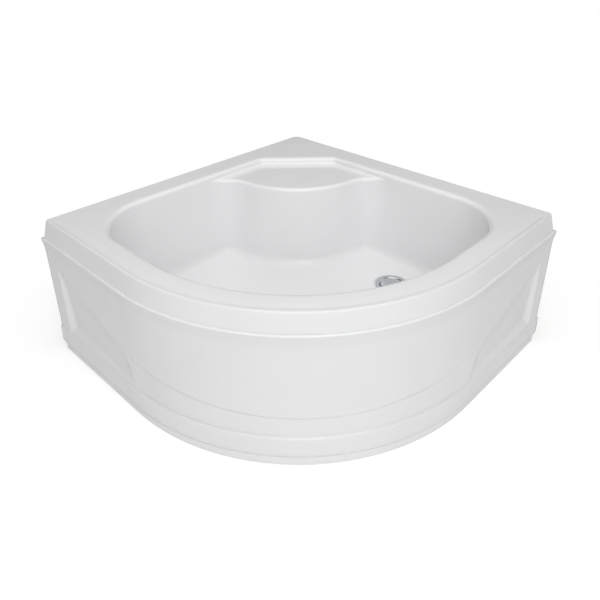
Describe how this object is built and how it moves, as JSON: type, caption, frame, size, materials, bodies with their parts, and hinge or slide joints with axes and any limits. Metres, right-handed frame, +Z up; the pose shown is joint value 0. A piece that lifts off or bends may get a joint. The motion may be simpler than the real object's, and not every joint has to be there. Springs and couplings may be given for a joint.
{
  "type": "deep shower tray",
  "caption": "Deep quadrant corner shower tray with a moulded corner seat, off-centre waste and trap, a removable curved front panel and adjustable feet.",
  "frame": {"origin": "centre of the tray's 900 mm square plan, on the floor", "axes": "-X faces the left wall and +Y the back wall, the curved front faces between +X and -Y, +Z is up"},
  "size_m": [0.9, 0.9, 0.384],
  "materials": {
    "acrylic": "gloss",
    "panel_acrylic": "gloss",
    "glass_fibre": "rough laminate",
    "chipboard": "pressed board, sealed",
    "softwood": "planed",
    "galvanised_steel": "galvanised",
    "zinc_plated": "bright zinc",
    "chrome": "polished",
    "seal_rubber": "matte",
    "black_plastic": "moulded",
    "white_plastic": "moulded",
    "clip_plastic": "moulded"
  },
  "bodies": {
    "tray": {"tray_shell": "acrylic", "reinforcement_layer": "glass_fibre", "base_board": "chipboard", "seat_bearer": "chipboard", "rim_batten_left": "softwood", "rim_batten_back": "softwood", "main_rail": "galvanised_steel", "cross_rail_left": "galvanised_steel", "cross_rail_right": "galvanised_steel", "seat_post": "galvanised_steel", "post_foot_plate": "galvanised_steel", "post_top_plate": "galvanised_steel", "rail_end_caps": "black_plastic", "rail_screws": "zinc_plated", "seat_bearer_screws": "zinc_plated", "bracket_screws": "zinc_plated", "clip_rivets": "zinc_plated", "weld_nuts": "zinc_plated", "lock_nuts": "zinc_plated", "waste_flange": "chrome", "flange_seal": "seal_rubber", "clamp_seal": "seal_rubber", "trap_body": "white_plastic", "outlet_seal": "seal_rubber", "outlet_nut": "white_plastic", "outlet_pipe": "white_plastic", "clip_block_1": "softwood", "clip_bracket_1": "galvanised_steel", "panel_clip_1": "clip_plastic", "clip_block_2": "softwood", "clip_bracket_2": "galvanised_steel", "panel_clip_2": "clip_plastic", "clip_block_3": "softwood", "clip_bracket_3": "galvanised_steel", "panel_clip_3": "clip_plastic", "clip_block_4": "softwood", "clip_bracket_4": "galvanised_steel", "panel_clip_4": "clip_plastic", "clip_block_5": "softwood", "clip_bracket_5": "galvanised_steel", "panel_clip_5": "clip_plastic"},
    "foot_1": {"foot_rod_1": "zinc_plated", "foot_pad_1": "black_plastic"},
    "foot_2": {"foot_rod_2": "zinc_plated", "foot_pad_2": "black_plastic"},
    "foot_3": {"foot_rod_3": "zinc_plated", "foot_pad_3": "black_plastic"},
    "foot_4": {"foot_rod_4": "zinc_plated", "foot_pad_4": "black_plastic"},
    "foot_5": {"foot_rod_5": "zinc_plated", "foot_pad_5": "black_plastic"},
    "waste_insert": {"waste_cap": "chrome", "dip_tube": "white_plastic", "dip_tube_ring": "seal_rubber"},
    "panel": {"front_panel": "panel_acrylic"}
  },
  "joints": [
    {"name": "foot_1_height", "type": "slide", "parent": "tray", "child": "foot_1", "axis": [0, 0, 1], "range_m": [-0.018, 0.008]},
    {"name": "foot_2_height", "type": "slide", "parent": "tray", "child": "foot_2", "axis": [0, 0, 1], "range_m": [-0.018, 0.008]},
    {"name": "foot_3_height", "type": "slide", "parent": "tray", "child": "foot_3", "axis": [0, 0, 1], "range_m": [-0.018, 0.008]},
    {"name": "foot_4_height", "type": "slide", "parent": "tray", "child": "foot_4", "axis": [0, 0, 1], "range_m": [-0.018, 0.008]},
    {"name": "foot_5_height", "type": "slide", "parent": "tray", "child": "foot_5", "axis": [0, 0, 1], "range_m": [-0.018, 0.008]},
    {"name": "waste_insert_lift", "type": "slide", "parent": "tray", "child": "waste_insert", "axis": [0, 0, 1], "range_m": [0, 0.12]},
    {"name": "panel_release", "type": "slide", "parent": "tray", "child": "panel", "axis": [0.7071, -0.7071, 0], "range_m": [0, 0.25]}
  ]
}
